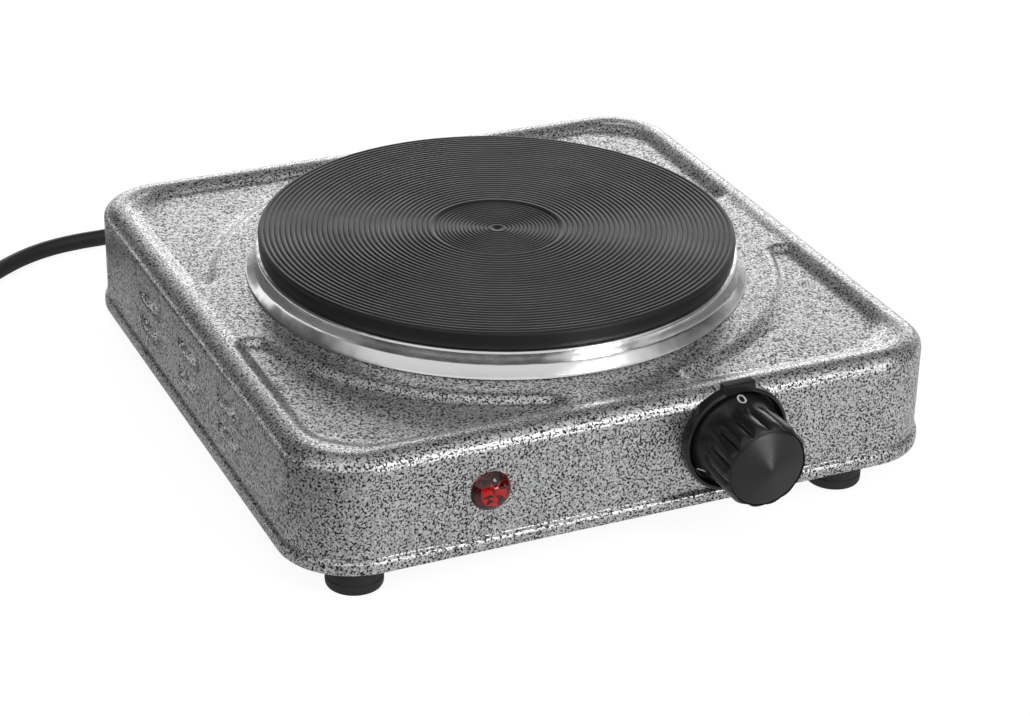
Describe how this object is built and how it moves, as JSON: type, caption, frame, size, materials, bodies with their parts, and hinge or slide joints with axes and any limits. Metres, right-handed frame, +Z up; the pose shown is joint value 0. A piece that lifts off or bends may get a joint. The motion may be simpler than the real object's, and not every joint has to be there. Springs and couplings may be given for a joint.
{
  "type": "hot plate burner",
  "caption": "Single electric hot plate: grooved cast-iron burner, polished trim ring, hammer-finish steel case, turning thermostat knob, pilot lamp, rubber feet and a coiled mains lead.",
  "frame": {"origin": "on the table, under the middle of the footprint from the knob's cap to the back of the case", "axes": "+Z up, front with the knob towards -Y, +X to the right seen from the front"},
  "size_m": [0.4109, 0.4474, 0.0694],
  "materials": {
    "hammertone": "hammered silver-grey paint with black speckle",
    "base_steel": "galvanised sheet",
    "foot_rubber": "matt",
    "screw_steel": "zinc plated",
    "cast_iron": "turned, black heat-resistant coat",
    "trim_steel": "polished stainless steel",
    "cement": "pressed magnesium oxide",
    "heating_wire": "oxidised resistance wire",
    "mica": "insulating board",
    "aluminised_steel": "satin",
    "bracket_steel": "zinc plated",
    "white_ceramic": "steatite",
    "limiter_brown": "phenolic",
    "brass": "plain",
    "spindle_steel": "turned",
    "blade_bronze": "phosphor bronze",
    "knob_plastic": "satin gloss",
    "cap_plastic": "satin",
    "bezel_plastic": "gloss",
    "red_lens": "clear red, gloss",
    "white_plastic": "plain",
    "bulb_glass": "clear",
    "wire_sleeve": "glass-fibre sleeving",
    "brown_wire": "silicone",
    "blue_wire": "silicone",
    "green_wire": "silicone",
    "pale_wire": "silicone",
    "cord_rubber": "smooth rubber sheath",
    "clamp_plastic": "plain",
    "pin_nickel": "nickel plated"
  },
  "bodies": {
    "case": {"housing": "hammertone", "base_plate": "base_steel", "feet": "foot_rubber", "foot_screws": "screw_steel", "base_screws": "screw_steel", "hot_plate": "cast_iron", "trim_ring": "trim_steel", "coil_cement": "cement", "heating_coil": "heating_wire", "insulation_disc": "mica", "plate_cover": "aluminised_steel", "centre_stud": "screw_steel", "clamp_bar": "bracket_steel", "heat_shield": "aluminised_steel", "stud_washer": "screw_steel", "stud_nut": "screw_steel", "element_pins": "screw_steel", "element_insulators": "white_ceramic", "thermal_limiter": "limiter_brown", "limiter_ring": "bracket_steel", "thermostat_body": "white_ceramic", "thermostat_bracket": "bracket_steel", "thermostat_bush": "brass", "thermostat_screws": "screw_steel", "fixed_blade": "blade_bronze", "bezel": "bezel_plastic", "lamp_lens": "red_lens", "lamp_sleeve": "white_plastic", "neon_bulb": "bulb_glass", "lamp_clip": "bracket_steel", "lamp_leads": "wire_sleeve", "terminal_block": "white_ceramic", "terminal_screws": "brass", "live_wire": "brown_wire", "neutral_wire": "blue_wire", "earth_wire": "green_wire", "switched_wire": "pale_wire", "limiter_wire": "pale_wire", "earth_screw": "brass", "strain_relief": "cord_rubber", "cord_core": "cord_rubber", "cord_clamp": "clamp_plastic", "cord_clamp_screws": "screw_steel", "cord": "cord_rubber", "cord_coil": "cord_rubber", "cord_end": "cord_rubber", "cord_tie": "clamp_plastic", "plug_body": "cord_rubber", "plug_pins": "pin_nickel", "plug_earth_clips": "brass"},
    "control": {"knob": "knob_plastic", "knob_cap": "cap_plastic", "knob_spring": "spindle_steel"},
    "spindle": {"thermostat_spindle": "spindle_steel"},
    "blade": {"moving_blade": "blade_bronze"}
  },
  "joints": [
    {"name": "knob_turn", "type": "hinge", "parent": "case", "child": "control", "pos_m": [0.036, -0.1291, 0.0354], "axis": [0, 1, 0], "range_deg": [0, 270]},
    {"name": "spindle_feed", "type": "slide", "parent": "control", "child": "spindle", "axis": [0, 1, 0], "range_m": [0, 0.001]},
    {"name": "blade_flex", "type": "hinge", "parent": "case", "child": "blade", "pos_m": [0.036, -0.09515, 0.0254], "axis": [-1, 0, 0], "range_deg": [0, 5.2]}
  ],
  "couplings": [
    {"joint": "spindle_feed", "follows": "knob_turn", "m_per_rad": 0.00019},
    {"joint": "blade_flex", "follows": "knob_turn", "ratio": 0.0185}
  ]
}
